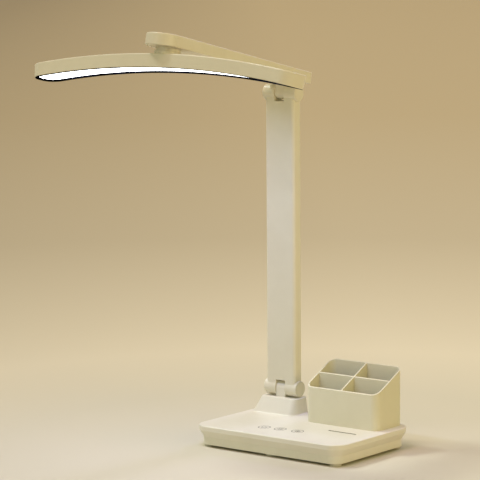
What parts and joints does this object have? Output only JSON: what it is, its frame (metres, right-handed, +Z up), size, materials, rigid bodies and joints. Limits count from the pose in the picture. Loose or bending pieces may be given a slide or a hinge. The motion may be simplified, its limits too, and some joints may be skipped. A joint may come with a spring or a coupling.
{
  "type": "folding desk lamp with pen holder",
  "caption": "Rechargeable desk lamp: flat weighted base with a divided pen holder, hinged flat stem and arm, and a long arched light bar that swivels.",
  "frame": {"origin": "on the table, under the middle of the base", "axes": "+Z up, +X to the right of someone facing the lamp, +Y to the back"},
  "size_m": [0.3216, 0.2336, 0.4189],
  "materials": {
    "cream_plastic": "fine satin moulded ABS",
    "holder_plastic": "fine satin moulded ABS, slightly greener",
    "black_plastic": "matt black moulded frame",
    "diffuser": "frosted white, lit",
    "steel": "zinc plated steel",
    "rubber": "soft cream pads",
    "circuit_board": "green solder resist",
    "battery_wrap": "foil pouch",
    "led": "white light chips with yellow phosphor"
  },
  "bodies": {
    "base": {"base_cover": "cream_plastic", "base_plate": "cream_plastic", "ballast_plate": "steel", "battery_pack": "battery_wrap", "control_board": "circuit_board", "touch_board": "circuit_board", "charging_socket": "steel", "foot_pads": "rubber", "plate_screws": "steel", "lower_hinge_shaft": "steel", "lower_hinge_nut": "steel"},
    "stem": {"stem_front_shell": "cream_plastic", "stem_rear_cover": "cream_plastic", "stem_stiffener": "steel", "stem_screws": "steel", "lower_hinge_washers": "steel", "upper_hinge_washers": "steel", "lower_hinge_caps": "cream_plastic", "upper_hinge_caps": "cream_plastic"},
    "arm": {"arm_shell": "cream_plastic", "arm_cover": "cream_plastic", "arm_screws": "steel", "arm_collar": "cream_plastic", "swivel_washer": "steel", "upper_hinge_shaft": "steel", "upper_hinge_nut": "steel"},
    "head": {"head_housing": "cream_plastic", "swivel_bolt": "steel", "swivel_nut": "steel", "bezel_frame": "black_plastic", "diffuser": "diffuser", "led_board": "circuit_board", "led_chips": "led"},
    "pen_box": {"pen_holder": "holder_plastic"}
  },
  "joints": [
    {"name": "stem_tilt", "type": "hinge", "parent": "base", "child": "stem", "pos_m": [-0.0564, 0.045, 0.047], "axis": [1, 0, 0], "range_deg": [-15, 35]},
    {"name": "arm_tilt", "type": "hinge", "parent": "stem", "child": "arm", "pos_m": [-0.0564, 0.045, 0.3494], "axis": [1, 0, 0], "range_deg": [-45, 35]},
    {"name": "head_swivel", "type": "hinge", "parent": "arm", "child": "head", "pos_m": [-0.0564, -0.13644, 0.39503], "axis": [0, 0.2147, 0.9767], "range_deg": [-90, 90]},
    {"name": "pen_holder_lift", "type": "slide", "parent": "base", "child": "pen_box", "axis": [0, 0, 1], "range_m": [0, 0.08]}
  ]
}
